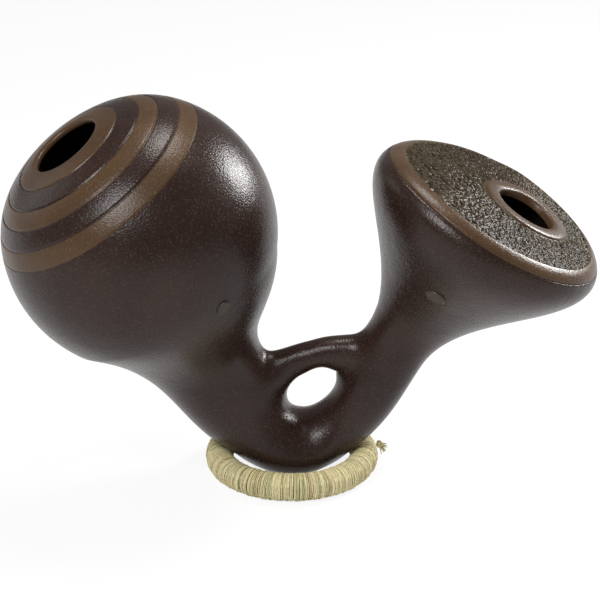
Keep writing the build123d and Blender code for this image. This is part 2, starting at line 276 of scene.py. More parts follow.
# %% Clay grain group
clay_grain = bpy.data.node_groups.new("clay_grain", "ShaderNodeTree")
clay_grain.interface.new_socket("Vector", in_out="INPUT", socket_type="NodeSocketVector")
for socket_name in ("Cloud", "Speckle", "Height"):
    clay_grain.interface.new_socket(socket_name, in_out="OUTPUT", socket_type="NodeSocketFloat")
grain_in = clay_grain.nodes.new("NodeGroupInput").outputs["Vector"]
grain_out = clay_grain.nodes.new("NodeGroupOutput")
cloud = add_range(clay_grain, add_noise(clay_grain, 16.0, 3.0, grain_in), 0.35, 0.65, 0.0, 1.0)
fine = add_noise(clay_grain, 600.0, 2.0, grain_in)
speckle = add_range(clay_grain, fine, 0.55, 0.72, 0.0, 1.0)
strokes = add_noise(clay_grain, 45.0, 2.0, grain_in)
height = add_math(clay_grain, "ADD", add_math(clay_grain, "MULTIPLY", fine, 0.58), strokes)
clay_grain.links.new(cloud, grain_out.inputs["Cloud"])
clay_grain.links.new(speckle, grain_out.inputs["Speckle"])
clay_grain.links.new(height, grain_out.inputs["Height"])


# %% Clay materials
def make_clay(name, dark, light, fleck, rough, bump, gloss=0.25):
    """Burnished clay: cloudy colour between two tones, pale flecks and a fine grain."""
    material, tree, skin = new_material(name)
    skin.inputs["Specular IOR Level"].default_value = gloss
    place = add_node(tree, "TexCoord", {}).outputs["Object"]
    grain = add_node(tree, "Group", {"Vector": place}, node_tree=clay_grain)
    ground = add_mix(tree, grain.outputs["Cloud"], dark, light)
    flecks = add_math(tree, "MULTIPLY", grain.outputs["Speckle"], 0.5)
    tree.links.new(add_mix(tree, flecks, ground, fleck), skin.inputs["Base Color"])
    roughness = add_range(tree, grain.outputs["Speckle"], 0.0, 1.0, rough, rough + 0.12)
    tree.links.new(roughness, skin.inputs["Roughness"])
    add_bump(tree, grain.outputs["Height"], bump, 0.6 * mm, skin)
    return material


dark_clay = make_clay(
    "dark_clay", (0.018, 0.0084, 0.0063), (0.028, 0.0140, 0.0106), (0.06, 0.048, 0.038), rough=0.26, bump=0.9
)
brown_clay = make_clay(
    "brown_slip", (0.052, 0.027, 0.0125), (0.072, 0.039, 0.0190), (0.11, 0.080, 0.050), rough=0.30, bump=0.8
)
face_clay = make_clay(
    "face_clay", (0.052, 0.039, 0.024), (0.078, 0.060, 0.038), (0.11, 0.09, 0.065),
    rough=0.22, bump=0.5, gloss=0.04,
)
button_clay = make_clay(
    "button_clay", (0.036, 0.028, 0.020), (0.056, 0.044, 0.032), (0.10, 0.085, 0.065), rough=0.36, bump=1.0
)


def paint_gap_shade(material, gap_shade_colour):
    """Painted shade in the gaps between the pebbles: the base colour darkens by the relief that is stored on
    the mesh.
    """
    tree = material.node_tree
    skin = tree.nodes["Principled BSDF"]
    ground = skin.inputs["Base Color"].links[0].from_socket
    relief = add_node(tree, "Attribute", {}, attribute_name="relief")
    share = add_range(tree, relief.outputs["Fac"], 0.15, 0.85, 0.0, 1.0)
    tree.links.new(add_mix(tree, share, gap_shade_colour, ground), skin.inputs["Base Color"])


# Painted shade: the face's colour goes nearly black where the pebbles are pressed deepest.
paint_gap_shade(face_clay, (0.011, 0.0075, 0.0050))
print("clay finishes:", dark_clay.name, brown_clay.name, face_clay.name, button_clay.name)

# %% [markdown]
# ## Where the drum stands
# The drum is drawn in its own plane, measured from the lowest point of the bend's centre line, and then
# leans a little towards the player and sits down in the ring. One matrix does that for every clay piece.

# %% Drum place
drum_lean = radians(4.0)
seat_shift = 9.92 * mm
seat_height = 30.53 * mm
drum_place = Matrix.Translation((ring_middle.x + seat_shift, ring_middle.y, seat_height))
drum_place = drum_place @ Matrix.Rotation(drum_lean, 4, "X")


def heading(tilt):
    """Direction in the drum's plane, turned from straight up towards +X by a tilt in degrees."""
    return Vector((sin(radians(tilt)), 0, cos(radians(tilt))))


def axis_place(origin, direction):
    """Matrix of a turned piece: its Z axis along a direction, its X axis in the drum's plane."""
    z_axis = direction.normalized()
    x_axis = Vector((0, 1, 0)).cross(z_axis).normalized()
    turn = Matrix((x_axis, z_axis.cross(x_axis), z_axis)).transposed()
    return Matrix.Translation(origin) @ turn.to_4x4()


# %% [markdown]
# ## The belly of the globe
# A potter throws the belly on the wheel. A sphere gives the same form. It is turned so that its pole
# points down the funnel, and two cuts open it: one under the crown, one where the funnel begins.
# The ring of edges at the lower cut is then pulled on, ring by ring, to make both necks and the bell.

# %% Belly
globe_radius = 122.2 * mm
globe_middle = Vector((-144.0, 0, 208.7)) * mm
mouth_tilt, mouth_lean = 35.0, 5.0
crown_edge_radius = 107.0 * mm
crown_edge_height = sqrt(globe_radius**2 - crown_edge_radius**2)
funnel_tilt = 26.0
funnel_start = radians(32.0)
funnel_axis = heading(180.0 - funnel_tilt)
funnel_middle = globe_middle + funnel_axis * globe_radius * sin(funnel_start)
flat_share = cos(radians(mouth_lean))
mouth_axis = Vector((
    -sin(radians(mouth_tilt)) * flat_share,
    -sin(radians(mouth_lean)),
    cos(radians(mouth_tilt)) * flat_share,
))

deselect_all()
bpy.ops.mesh.primitive_uv_sphere_add(segments=112, ring_count=72, radius=globe_radius)
clay_body = bpy.context.object
clay_body.name = "clay_body"
apply_place(clay_body, Matrix.Translation(globe_middle) @ Matrix.Rotation(radians(-funnel_tilt), 4, "Y"))
edit(clay_body, "SELECT")
bpy.ops.mesh.bisect(
    plane_co=globe_middle + mouth_axis * crown_edge_height, plane_no=mouth_axis, clear_outer=True
)
bpy.ops.mesh.select_all(action="SELECT")
bpy.ops.mesh.bisect(plane_co=funnel_middle, plane_no=funnel_axis, clear_outer=True)
print("belly rim:", clay_body.data.total_vert_sel, "points")

# %% [markdown]
# ## The necks and the bell
# The line through the middle of both necks is a smooth curve through a few measured places. Each place
# also has a radius, so one curve in three numbers (along, radius, up) gives the line and its thickness.
# The open rim is extruded, tilted and scaled to each ring in turn, as if coiling the pot by hand.

# %% Line of the necks
throat, elbow, heel = (-87.6, 52.1, 84.4), (-52.2, 41.5, 30.9), (-30.1, 34.0, 10.8)
bend, toe, treble_neck = (0.0, 29.0, 0.0), (32.1, 29.0, 16.8), (53.0, 30.4, 42.2)
bell_foot = (84.1, 30.4, 96.6)
bell_tilt = 31.3
funnel_mouth = (funnel_middle.x / mm, globe_radius / mm * cos(funnel_start), funnel_middle.z / mm)
stations = np.array([funnel_mouth, throat, elbow, heel, bend, toe, treble_neck, bell_foot]) * mm
gaps = np.linalg.norm(np.diff(stations, axis=0), axis=1)
reach = np.concatenate(([0.0], np.cumsum(gaps)))


def unit(vector):
    return np.array(vector) / np.linalg.norm(vector)


first_pace = unit(np.array(funnel_axis) - np.array([0, tan(funnel_start), 0]))
last_pace = unit(np.array(heading(bell_tilt)))

# Paces at the inner stations, so that the curve bends without a break
count = len(stations)
system, right = np.eye(count), np.zeros((count, 3))
right[0], right[-1] = first_pace, last_pace
for i in range(1, count - 1):
    before, after = gaps[i - 1], gaps[i]
    system[i, i - 1 : i + 2] = 1 / before, 2 / before + 2 / after, 1 / after
    right[i] = 3 * (stations[i] - stations[i - 1]) / before**2
    right[i] += 3 * (stations[i + 1] - stations[i]) / after**2
paces = np.linalg.solve(system, right)


def neck_at(distance):
    """Middle, tilt in degrees and radius of the necks at a distance along their line."""
    i = min(max(int(np.searchsorted(reach, distance)) - 1, 0), count - 2)
    span = gaps[i]
    t = (distance - reach[i]) / span
    a, b, pa, pb = stations[i], stations[i + 1], paces[i] * span, paces[i + 1] * span
    point = (2 * t**3 - 3 * t**2 + 1) * a + (t**3 - 2 * t**2 + t) * pa
    point = point + (3 * t**2 - 2 * t**3) * b + (t**3 - t**2) * pb
    pace = (6 * t**2 - 6 * t) * (a - b) + (3 * t**2 - 4 * t + 1) * pa + (3 * t**2 - 2 * t) * pb
    tilt = atan2(pace[0], pace[2]) * 180 / pi
    return Vector((point[0], 0, point[2])), tilt, point[1]


print("line of the necks:", round(reach[-1] / mm), "mm")

# %% Bell outline
bell_length, bell_radius = 149.7 * mm, 112.7 * mm
flare_neck_pull, flare_rim_pull = 58.9 * mm, 33.8 * mm
rim_round = 19.9 * mm
rim_groove_turn, rim_turn = 37.0, 76.0
groove_width, groove_depth = 2.4 * mm, 1.0 * mm
bell_start = Vector((bell_foot[0], 0, bell_foot[2])) * mm
bell_axis = heading(bell_tilt)
foot_radius = bell_foot[1] * mm


def pull_shares(t):
    """How much each of the four points that shape a curve counts at a share of its way."""
    return (1 - t) ** 3, 3 * t * (1 - t) ** 2, 3 * t**2 * (1 - t), t**3


def flare_point(t):
    """Radius and height of the bell's flare, from the neck (0) to its widest place (1)."""
    pulls = (foot_radius, foot_radius, bell_radius, bell_radius)
    heights = (0.0, flare_neck_pull, bell_length - flare_rim_pull, bell_length)
    shares = pull_shares(t)
    return sum(s * r for s, r in zip(shares, pulls)), sum(s * h for s, h in zip(shares, heights))


def rim_point(radius, turn):
    """Radius and height on the rounded edge of the bell."""
    turn = radians(turn)
    return bell_radius - rim_round + radius * cos(turn), bell_length + radius * sin(turn)


# %% Pull the rings
ring_step = 4.2 * mm
neck_rings = [neck_at(d) for d in np.linspace(0, reach[-1], ceil(reach[-1] / ring_step))]
bell_outline = [flare_point(t) for t in np.linspace(0, 1, 37)[1:]]
groove_half = groove_width / 2 / rim_round * 180 / pi
rim_turns = np.linspace(0, rim_groove_turn - groove_half, 8)[1:]
bell_outline += [rim_point(rim_round, turn) for turn in rim_turns]
bell_outline.append(rim_point(rim_round - 0.7 * groove_depth, rim_groove_turn - 0.45 * groove_half))
bell_outline.append(rim_point(rim_round - groove_depth, rim_groove_turn))
bell_rings = [(bell_start + bell_axis * h, bell_tilt, r) for r, h in bell_outline]


def pull_ring(last, new):
    """Extrudes the selected rim on to the next ring."""
    bpy.ops.mesh.extrude_region_move(TRANSFORM_OT_translate={"value": new[0] - last[0]})
    turn = radians(new[1] - last[1])
    bpy.ops.transform.rotate(value=-turn, orient_axis="Y", orient_type="GLOBAL", center_override=new[0])
    share = new[2] / last[2]
    bpy.ops.transform.resize(value=(share, share, share), center_override=new[0])


rings = neck_rings + bell_rings
for last, new in zip(rings[:-1], rings[1:]):
    pull_ring(last, new)
bpy.ops.object.mode_set(mode="OBJECT")
edge_points = [v.co for v in clay_body.data.vertices if v.select]
middle = sum(edge_points, Vector()) / len(edge_points)
print("last ring is off by", round((middle - rings[-1][0]).length / mm, 3), "mm")

# %% [markdown]
# ## The bridge
# A hollow strut joins the necks, and the finger hole is the gap under it. On the pot it grows out of both
# necks in a soft fillet. Here a round patch is cut out of each neck, the rim of the patch is laid on a
# true circle, and rings lead from it through a fillet on to the strut. The two halves meet in the middle.

# %% Line of the bridge
bridge_bass_share, bridge_treble_share = 0.74, 0.83
bridge_rise, bridge_radius, bridge_flare = 19.4 * mm, 13.2 * mm, 10.5 * mm
bridge_start = neck_at(reach[1] + gaps[1] * bridge_bass_share)[0]
bridge_end = neck_at(reach[6] + gaps[6] * bridge_treble_share)[0]
chord = bridge_end - bridge_start
bridge_up = Vector((-chord.z, 0, chord.x)).normalized()
bow_radius = (chord.length**2 / 4 + bridge_rise**2) / (2 * bridge_rise)
bow_middle = (bridge_start + bridge_end) / 2 + bridge_up * (bridge_rise - bow_radius)
bow_half = atan2(chord.length / 2, bow_radius - bridge_rise)


def bridge_at(t):
    """Middle, heading and radius of the bridge at a share of its length."""
    turn = bow_half * (2 * t - 1)
    along = chord.normalized()
    point = bow_middle + (bridge_up * cos(turn) + along * sin(turn)) * bow_radius
    return point, along * cos(turn) - bridge_up * sin(turn), bridge_radius + bridge_flare * (2 * t - 1) ** 2


bridge_length = 2 * bow_half * bow_radius
print("bridge line:", round(bridge_length / mm), "mm")

# %% Cut and fillet
neck_skin = BVHTree.FromObject(clay_body, bpy.context.evaluated_depsgraph_get())
across = Vector((0, 1, 0))
fillet_steps, strut_steps = 9, 6
patch_depth, patch_facing = 40 * mm, 0.02
line_step, fillet_pull = 0.004, 0.55


def leave_neck(t, outward):
    """Share of the bridge's line at which it leaves a neck, with the point and heading there."""
    while True:
        point, along, _ = bridge_at(t)
        nearest, normal, _, _ = neck_skin.find_nearest(point)
        if (point - nearest).dot(normal) > 0:
            return t, point, along * outward
        t += line_step * outward


def round_patch(mesh, point, along, radius):
    """Faces of a round patch on a neck, and the edges round them."""
    patch = set()
    for face in mesh.faces:
        off = face.calc_center_median() - point
        depth = off.dot(along)
        facing = face.normal.dot(along) > patch_facing
        if facing and abs(depth) < patch_depth and (off - along * depth).length < radius:
            patch.add(face)
    # Only the faces that hang together with the one nearest to the bridge's line
    joined = {min(patch, key=lambda face: (face.calc_center_median() - point).length)}
    fresh = list(joined)
    while fresh:
        around = {f for edge in fresh.pop().edges for f in edge.link_faces} & patch - joined
        joined |= around
        fresh += around
    in_order = sorted(joined, key=lambda face: face.index)
    edges = [e for face in in_order for e in face.edges if len(joined & set(e.link_faces)) == 1]
    return in_order, edges


def grow_half(leave, outward, radius, edges, fillet_reach, finish):
    """Columns of points from the rim of a patch, through a fillet, along the strut to its middle."""
    t, point, along = leave
    side = along.cross(across)
    fillet_end = t + outward * fillet_reach / bridge_length
    columns = {}
    for corner in dict.fromkeys(v for e in edges for v in e.verts):
        off = corner.co - point
        angle = atan2(off.dot(side), off.dot(across))
        outwards = across * cos(angle) + side * sin(angle)
        hit, normal, _, _ = neck_skin.ray_cast(point + (outwards + along) * radius, -along)
        if not hit:
            hit, normal, _, _ = neck_skin.find_nearest(corner.co)
        corner.co = hit
        slide = normal * outwards.dot(normal) - outwards
        strut = []
        for share in np.linspace(fillet_end, finish, strut_steps + 1):
            middle, run, thickness = bridge_at(share)
            rim = across * cos(angle) + (run * outward).cross(across) * sin(angle)
            strut.append(middle + rim * thickness)
        run = bridge_at(fillet_end)[1] * outward
        handle = fillet_pull * (strut[0] - hit).length
        pulls = [hit, hit + slide.normalized() * handle, strut[0] - run * handle, strut[0]]
        column = []
        for step in range(1, fillet_steps + 1):
            shares = pull_shares(step / fillet_steps)
            column.append(sum((p * k for p, k in zip(pulls, shares)), Vector()))
        columns[corner] = column + strut[1:]
    return columns


def skin_columns(mesh, columns, edges, last_ring):
    """Adds the points of all columns and the faces between neighbours."""
    made = {}
    for corner, column in columns.items():
        made[corner] = [corner] + [mesh.verts.new(place) for place in column]
        if last_ring:
            made[corner].append(last_ring[corner])
    for edge in edges:
        a, b = (made[v] for v in edge.verts)
        for low_a, low_b, high_a, high_b in zip(a, b, a[1:], b[1:]):
            mesh.faces.new((low_a, low_b, high_b, high_a))
    return {corner: points[-1] for corner, points in made.items()}


shell = bmesh.new()
shell.from_mesh(clay_body.data)
bass_radius, bass_fillet, bass_finish = 25.8 * mm, 15 * mm, 0.5
treble_fillet, treble_finish = 13 * mm, 0.54
bass_leave, treble_leave = leave_neck(0.0, 1), leave_neck(1.0, -1)
bass_patch, bass_edges = round_patch(shell, *bass_leave[1:], bass_radius)
# The treble patch is the one nearest 21 mm that has as many edges as the bass patch
tries = sorted(np.arange(17.0, 26.0, 0.1), key=lambda r: abs(r - 21.0))
for treble_radius in tries:
    treble_patch, treble_edges = round_patch(shell, *treble_leave[1:], treble_radius * mm)
    single = len({v for e in treble_edges for v in e.verts}) == len(treble_edges)
    if single and len(treble_edges) == len(bass_edges):
        break
print("patches:", len(bass_edges), "and", len(treble_edges), "edges at", round(treble_radius, 1), "mm")
bmesh.ops.delete(shell, geom=bass_patch + treble_patch, context="FACES")
bass_columns = grow_half(bass_leave, 1, bass_radius, bass_edges, bass_fillet, bass_finish)
treble_columns = grow_half(
    treble_leave, -1, treble_radius * mm, treble_edges, treble_fillet, treble_finish
)
bass_ends = skin_columns(shell, bass_columns, bass_edges, None)


def loop_order(edges):
    """Points of a closed rim in order."""
    links = {}
    for edge in edges:
        for a, b in (edge.verts, reversed(edge.verts)):
            links.setdefault(a, []).append(b)
    order = [edges[0].verts[0]]
    while len(order) < len(edges):
        order.append(next(v for v in links[order[-1]] if v not in order[-2:]))
    return order


# Each treble column ends at the bass column that lies nearest, all the way round
bass_order, treble_order = loop_order(bass_edges), loop_order(treble_edges)
best = None
for flip in (1, -1):
    turned_order = bass_order[::flip]
    for shift in range(len(bass_order)):
        pairs = turned_order[shift:] + turned_order[:shift]
        miss = sum((bass_ends[b].co - treble_columns[t][-1]).length for b, t in zip(pairs, treble_order))
        if best is None or miss < best[0]:
            best = (miss, dict(zip(treble_order, (bass_ends[b] for b in pairs))))
skin_columns(shell, treble_columns, treble_edges, best[1])
shell.to_mesh(clay_body.data)
shell.free()
tidy_mesh(clay_body, 60)
print("skin of the pot:", len(clay_body.data.polygons), "faces")

# %% [markdown]
# ## A full base
# The bend is not a bare tube: its lower side was paddled out to a full, round base, so that little light
# shows between pot and ring from the front. Each point on the outer and lower side moves out from the
# middle of the ring towards a rounded cup, and points that face upwards stay.

# %% Paddle the base
base_middle = Vector((-seat_shift, 0, 19.5 * mm))
base_radius, base_depth, base_square = 56.5 * mm, 48.5 * mm, 3.2
base_top, base_fade, facing_fade = 34 * mm, 50 * mm, 1.4


def soft_step(value, low, high):
    """Smooth share from 0 at a low value to 1 at a high one."""
    share = min(max((value - low) / (high - low), 0.0), 1.0)
    return share * share * (3 - 2 * share)


moved = []
for vert in clay_body.data.vertices:
    off = vert.co - base_middle
    flat, high = sqrt(off.x**2 + off.y**2), abs(off.z)
    if flat > base_radius or off.z > base_top:
        continue
    full = ((flat / base_radius) ** base_square + (high / base_depth) ** base_square) ** (-1 / base_square)
    share = soft_step(1.0 - vert.normal.z, 0.0, facing_fade) * soft_step(base_top - off.z, 0.0, base_fade)
    if full > 1:
        moved.append((vert, base_middle + off * (1 + (full - 1) * share)))
for vert, spot in moved:
    vert.co = spot
print("base:", len(moved), "points moved")

# %% [markdown]
# ## Soft clay round the finger hole
# The potter pressed the hole into an even oval and rubbed the clay round it with a wet sponge. So the
# present edge of the hole is measured all round as the viewer sees it, and each point near it moves by what
# is missing to the oval, less the further away it lies. A sponge then smooths the clay at several places,
# and the oval is pressed once more with a closer reach.

# %% Press the oval
hole_middle = Vector((8.1, 0, 52.0)) * mm
oval_long, oval_short, oval_tilt = 25.0 * mm, 15.5 * mm, radians(33.0)
slices, hole_search, hole_far = 72, 60 * mm, 90 * mm
wide_press, close_press = 22 * mm, 12 * mm
view_tilt = camera_tilt + drum_lean


def round_hole(point):
    """Angle and distance of a point from the middle of the finger hole, as the viewer sees it."""
    off = point - hole_middle
    rise = off.z * cos(view_tilt) + off.y * sin(view_tilt)
    return atan2(rise, off.x), sqrt(off.x**2 + rise**2)


def press_hole(press_reach):
    """Moves the edge of the hole, as the viewer sees it, on to the oval."""
    edge_now = np.full(slices, np.nan)
    for vert in clay_body.data.vertices:
        angle, away = round_hole(vert.co)
        if away < hole_search:
            k = int((angle + pi) / (2 * pi) * slices) % slices
            edge_now[k] = away if np.isnan(edge_now[k]) else min(edge_now[k], away)
    filled = np.flatnonzero(~np.isnan(edge_now))
    slice_angles = (np.arange(slices) + 0.5) / slices * 2 * pi - pi
    edge_now = np.interp(slice_angles, slice_angles[filled], edge_now[filled], period=2 * pi)
    edge_now = sum(np.roll(edge_now, k) for k in (-1, 0, 1)) / 3
    print("hole edge:", (edge_now.min() / mm).round(1), "to", (edge_now.max() / mm).round(1), "mm")
    for vert in clay_body.data.vertices:
        angle, away = round_hole(vert.co)
        if away > hole_far:
            continue
        edge = np.interp(angle, slice_angles, edge_now, period=2 * pi)
        turn = angle - oval_tilt
        oval = oval_long * oval_short / sqrt((oval_short * cos(turn)) ** 2 + (oval_long * sin(turn)) ** 2)
        move = (oval - edge) * np.exp(-(((away - edge) / press_reach) ** 2))
        vert.co.x += move * cos(angle)
        vert.co.z += move * sin(angle) / cos(view_tilt)


for _ in range(3):
    press_hole(wide_press)

# %% Sponge the clay
bass_valley, treble_valley = Vector((-36.0, 0, 86.0)) * mm, Vector((52.0, 0, 104.0)) * mm
bridge_middle, base_front = Vector((8.0, 0, 96.0)) * mm, Vector((-10.0, 0, 8.0)) * mm
hole_corner = Vector((30.0, 0, 66.0)) * mm
# Each place with the radius of the sponge in mm and the number of rubs
sponge_places = [(hole_middle, 46, 10), (bass_valley, 30, 24), (treble_valley, 30, 24)]
sponge_places += [(bridge_middle, 32, 8), (base_front, 50, 24), (base_front, 56, 12), (base_front, 62, 8)]
sponge_places += [(hole_middle, 38, 12), (hole_corner, 16, 30)]


def rub(inside, rubs):
    """Smooths the points of the pot that a test picks out."""
    edit(clay_body)
    bpy.ops.object.mode_set(mode="OBJECT")
    for vert in clay_body.data.vertices:
        vert.select = inside(vert.co)
    bpy.ops.object.mode_set(mode="EDIT")
    bpy.ops.mesh.vertices_smooth(factor=0.5, repeat=rubs)
    deselect_all()


def in_circle(point, spot, radius):
    """Whether a point lies in a circle that is drawn in the drum's plane."""
    off = point - spot
    return sqrt(off.x**2 + off.z**2) < radius


for spot, sponge, rubs in sponge_places:
    rub(lambda point: in_circle(point, spot, sponge * mm), rubs)
for _ in range(4):
    press_hole(close_press)
edge_sponge, edge_rubs = 34 * mm, 7
rub(lambda point: round_hole(point)[1] < edge_sponge, edge_rubs)
print("sponge:", len(sponge_places), "places")

# %% [markdown]
# ## The bell's high side
# The clay has sunk a little on the high, far side of the bell, so that its corner is rounder there. One
# rule says how far a point of the bell sinks along its axis, and all pieces of the bell follow it. Points
# that lie further from the axis than the bell is wide belong to the globe and stay.

# %% Let the corner down
bell_place = axis_place(bell_start, bell_axis)
corner_slope, corner_end, corner_inward = 0.088, 45.0 * mm, 0.6
corner_soft, inward_soft = 40 * mm, 60 * mm
sink_low, sink_high, sink_side = 70 * mm, 150 * mm, 100 * mm
bell_clear = 122 * mm


def let_down(piece, place):
    """Eases the high, far side of the bell; the place turns the bell's frame to the piece's."""
    back = place.inverted()
    for vert in piece.data.vertices:
        spot = back @ vert.co
        gap = corner_end - spot.x
        if spot.z > sink_low and gap > 0 and sqrt(spot.x**2 + spot.y**2) < bell_clear:
            share = soft_step(spot.z, sink_low, sink_high) * soft_step(spot.y, -sink_side, sink_side)
            drop = corner_slope * gap * soft_step(gap, 0.0, corner_soft) * share
            spot.z -= drop
            spot.x += corner_inward * drop * soft_step(-spot.x, 0.0, inward_soft)
            vert.co = place @ spot


def set_on_bell(piece):
    """Eases a piece that is turned round the bell's axis and sets it on the drum."""
    let_down(piece, Matrix.Identity(4))
    apply_place(piece, drum_place @ bell_place)


let_down(clay_body, bell_place)

# %% [markdown]
# ## Wall of the pot
# The clay is about 6 mm thick. Solidify adds the inner wall on the hollow side, so that the mouths show a
# real edge. After that the pot is set down in the ring.

# %% Wall and place
wall = 6.0 * mm
apply_modifier(clay_body, "SOLIDIFY", thickness=wall, offset=-1.0)
apply_place(clay_body, drum_place)
shade(clay_body, 60)
body_nodes = ["bass_bowl", "bass_funnel", "bass_neck", "base_bend"]
body_nodes += ["treble_neck", "treble_bell", "bridge_tube"]
hand_over(clay_body, "drum", body_nodes, dark_clay)

# %% [markdown]
# ## The banded crown
# The cap of the globe is thrown flatter than the belly and then turned: four grooves are cut while the
# wheel spins, and every second band is brushed with brown slip. A turned piece is best drawn as half an
# outline and spun round its axis. A single vertex is extruded along the outline for that.


# %% Turning
def turned_piece(name, outline, segments, closed=True):
    """Spins an outline of radius and height round the Z axis."""
    deselect_all()
    bpy.ops.mesh.primitive_plane_add(size=mm, location=(0, 0, 0))
    piece = bpy.context.object
    piece.name = name
    bpy.ops.object.mode_set(mode="EDIT")
    bpy.ops.mesh.select_all(action="SELECT")
    bpy.ops.mesh.merge(type="CENTER")
    corners = [Vector((r, 0, h)) for r, h in outline]
    bpy.ops.transform.translate(value=corners[0])
    way = corners + corners[:1] if closed else corners
    for last, new in zip(way, way[1:]):
        bpy.ops.mesh.extrude_region_move(TRANSFORM_OT_translate={"value": new - last})
    bpy.ops.mesh.select_all(action="SELECT")
    bpy.ops.mesh.remove_doubles(threshold=0.000005)
    bpy.ops.mesh.select_all(action="SELECT")
    bpy.ops.mesh.spin(steps=segments, angle=2 * pi, center=(0, 0, 0), axis=(0, 0, 1))
    tidy_mesh(piece)
    return piece


# %% Crown
mouth_radius, lip_width = 31.5 * mm, 5.0 * mm
crown_flatness = 12.0 * mm
band_grooves = [52.0 * mm, 70.0 * mm, 84.0 * mm, 97.0 * mm]
lip_seat = mouth_radius + lip_width


def crown_height(radius, sphere):
    """Height of the flattened crown above the globe's middle."""
    edge = sqrt(sphere**2 - crown_edge_height**2)
    return sqrt(sphere**2 - radius**2) - crown_flatness * (1 - (radius / edge) ** 2) ** 2


def groove_dip(radius):
    """How deep the nearest groove is at a radius, with soft edges."""
    off = min(abs(radius - g) for g in band_grooves + [crown_edge_radius])
    share = min(off / (groove_width / 2), 1.0)
    return groove_depth * (0.5 + 0.5 * cos(pi * share))


crown_radii = set(np.linspace(lip_seat, crown_edge_radius, 60))
for groove in band_grooves + [crown_edge_radius]:
    crown_radii |= {groove + groove_width * s for s in (-0.5, -0.35, -0.2, -0.08, 0.0, 0.08, 0.2, 0.35, 0.5)}
crown_radii = sorted(r for r in crown_radii if lip_seat <= r <= crown_edge_radius)
crown_outline = [(r, crown_height(r, globe_radius) - groove_dip(r)) for r in crown_radii]
inner_edge = sqrt((globe_radius - wall) ** 2 - crown_edge_height**2)
crown_outline += [(r, crown_height(r, globe_radius - wall)) for r in np.linspace(inner_edge, lip_seat, 16)]
bass_crown = turned_piece("bass_crown_bands", crown_outline, 160)

# Bands by their distance from the mouth's axis: brown, dark, brown, dark, brown
bass_crown.data.materials.append(brown_clay)
bass_crown.data.materials.append(dark_clay)
for face in bass_crown.data.polygons:
    band = sum(Vector(face.center[:2]).length > g for g in band_grooves)
    face.material_index = band % 2
crown_place = drum_place @ axis_place(globe_middle, mouth_axis)
apply_place(bass_crown, crown_place)
hand_over(bass_crown, "drum", ["bass_crown"])

# %% Mouth lip
lip_top, lip_under = crown_height(lip_seat, globe_radius), crown_height(lip_seat, globe_radius - wall)
lip_half = (lip_top - lip_under) / 2
lip_outline = [(lip_seat, lip_under), (lip_seat, lip_top)]
for turn in np.linspace(90, 270, 13):
    across_lip = mouth_radius + 0.8 * lip_half * (1 + cos(radians(turn)))
    lip_outline.append((across_lip, lip_under + lip_half * (1 + sin(radians(turn)))))
bass_lip = turned_piece("bass_mouth_edge", lip_outline, 128)
apply_place(bass_lip, crown_place)
hand_over(bass_lip, "drum", ["bass_mouth_lip"], brown_clay)

# %% [markdown]
# ## The bell's rim and face
# The bell ends in a rounded edge. A groove parts the dark flank from a smooth brown band, and inside the
# band lies the playing face, stamped all over while the clay was soft. The rim is turned. The face starts
# as a circle round the off-centre hole and is extruded ring by ring until it meets the rim. A cell texture
# then presses the pebbles into it, and how deep each point lies is stored on the mesh; the colour is
# darkened in the deep gaps there as painted shade.

# %% Rim band
rim_outline = [rim_point(rim_round - groove_depth, rim_groove_turn)]
rim_outline.append(rim_point(rim_round - 0.7 * groove_depth, rim_groove_turn + 0.45 * groove_half))
for turn in np.linspace(rim_groove_turn + groove_half, rim_turn, 12):
    rim_outline.append(rim_point(rim_round, turn))
for turn in np.linspace(rim_turn, rim_groove_turn, 10):
    rim_outline.append(rim_point(rim_round - wall, turn))
bell_rim = turned_piece("treble_rim_band", rim_outline, 160)
set_on_bell(bell_rim)
hand_over(bell_rim, "drum", ["treble_rim"], brown_clay)

# %% Face
face_dome = 6.0 * mm
hole_radius, hole_offset = 27.5 * mm, 26.5 * mm
collar_width, collar_rise = 15.0 * mm, 1.5 * mm
face_edge = rim_point(rim_round, rim_turn)[0]
rim_top = bell_length + rim_round * sin(radians(rim_turn))
collar_radius = hole_radius + collar_width


def dome_height(x, y):
    """Height of the domed face above the bell's foot."""
    return rim_top + face_dome * (1 - (x * x + y * y) / face_edge**2)


deselect_all()
face_points, face_rings = 600, 70
bpy.ops.mesh.primitive_circle_add(vertices=face_points, radius=collar_radius, location=(hole_offset, 0, 0))
treble_face = bpy.context.object
treble_face.name = "treble_face_stamped"
bpy.ops.object.transform_apply(location=True, rotation=True, scale=True)
bpy.ops.object.mode_set(mode="EDIT")
bpy.ops.mesh.select_all(action="SELECT")
for step in range(face_rings):
    share = (step + 1) / face_rings
    new_middle = Vector((hole_offset * (1 - share), 0, 0))
    last_radius = collar_radius + (face_edge - collar_radius) * step / face_rings
    new_radius = collar_radius + (face_edge - collar_radius) * share
    slide = Vector((-hole_offset / face_rings, 0, 0))
    bpy.ops.mesh.extrude_region_move(TRANSFORM_OT_translate={"value": slide})
    grow = new_radius / last_radius
    bpy.ops.transform.resize(value=(grow, grow, 1), center_override=new_middle)
bpy.ops.object.mode_set(mode="OBJECT")
for vert in treble_face.data.vertices:
    vert.co.z = dome_height(vert.co.x, vert.co.y)
tidy_mesh(treble_face)
if treble_face.data.polygons[0].normal.z < 0:
    treble_face.data.flip_normals()
press_margin = 2.5 * mm
pressed = treble_face.vertex_groups.new(name="pressed")
for vert in treble_face.data.vertices:
    x, y = vert.co.x, vert.co.y
    edge_gap = min(face_edge - sqrt(x * x + y * y), sqrt((x - hole_offset) ** 2 + y * y) - collar_radius)
    pressed.add([vert.index], min(max(edge_gap / press_margin, 0.0), 1.0), "REPLACE")
pebble = bpy.data.textures.new("pebble", "VORONOI")
pebble_size, pebble_depth = 2.6 * mm, 2.0 * mm
pebble.noise_scale = pebble_size
pebble.noise_intensity = 1.0
